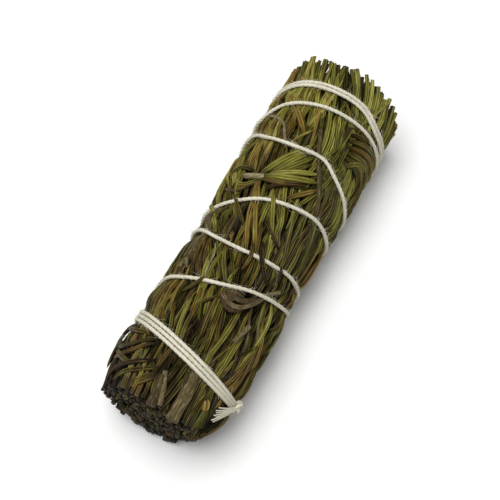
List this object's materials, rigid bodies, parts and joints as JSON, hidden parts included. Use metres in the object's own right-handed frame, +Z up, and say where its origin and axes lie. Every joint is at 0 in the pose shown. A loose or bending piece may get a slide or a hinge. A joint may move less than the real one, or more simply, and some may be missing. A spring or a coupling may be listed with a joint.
{
  "type": "smudge stick",
  "caption": "Bundle of dried rosemary sprigs laid side by side, bound with a spiral of cotton string and trimmed at both ends, lit at one end to smoulder for its smoke.",
  "frame": {"origin": "on the surface that the bundle lies on, under the middle of its bounding box", "axes": "+X along the bundle from the cut stems to the trimmed tips, +Z up"},
  "size_m": [0.102, 0.0358, 0.0328],
  "materials": {
    "rosemary": "matte",
    "twig": "matte",
    "string": "matte"
  },
  "bodies": {
    "root": {"outer_sprig_01": "rosemary", "outer_sprig_02": "rosemary", "outer_sprig_03": "rosemary", "outer_sprig_04": "rosemary", "outer_sprig_05": "rosemary", "outer_sprig_06": "rosemary", "outer_sprig_07": "rosemary", "outer_sprig_08": "rosemary", "outer_sprig_09": "rosemary", "outer_sprig_10": "rosemary", "outer_sprig_11": "rosemary", "outer_sprig_12": "rosemary", "inner_sprig_01": "rosemary", "inner_sprig_02": "rosemary", "inner_sprig_03": "rosemary", "inner_sprig_04": "rosemary", "crossing_sprig": "rosemary", "folded_sprig": "rosemary", "curled_twig": "twig", "cotton_string": "string"}
  },
  "joints": []
}
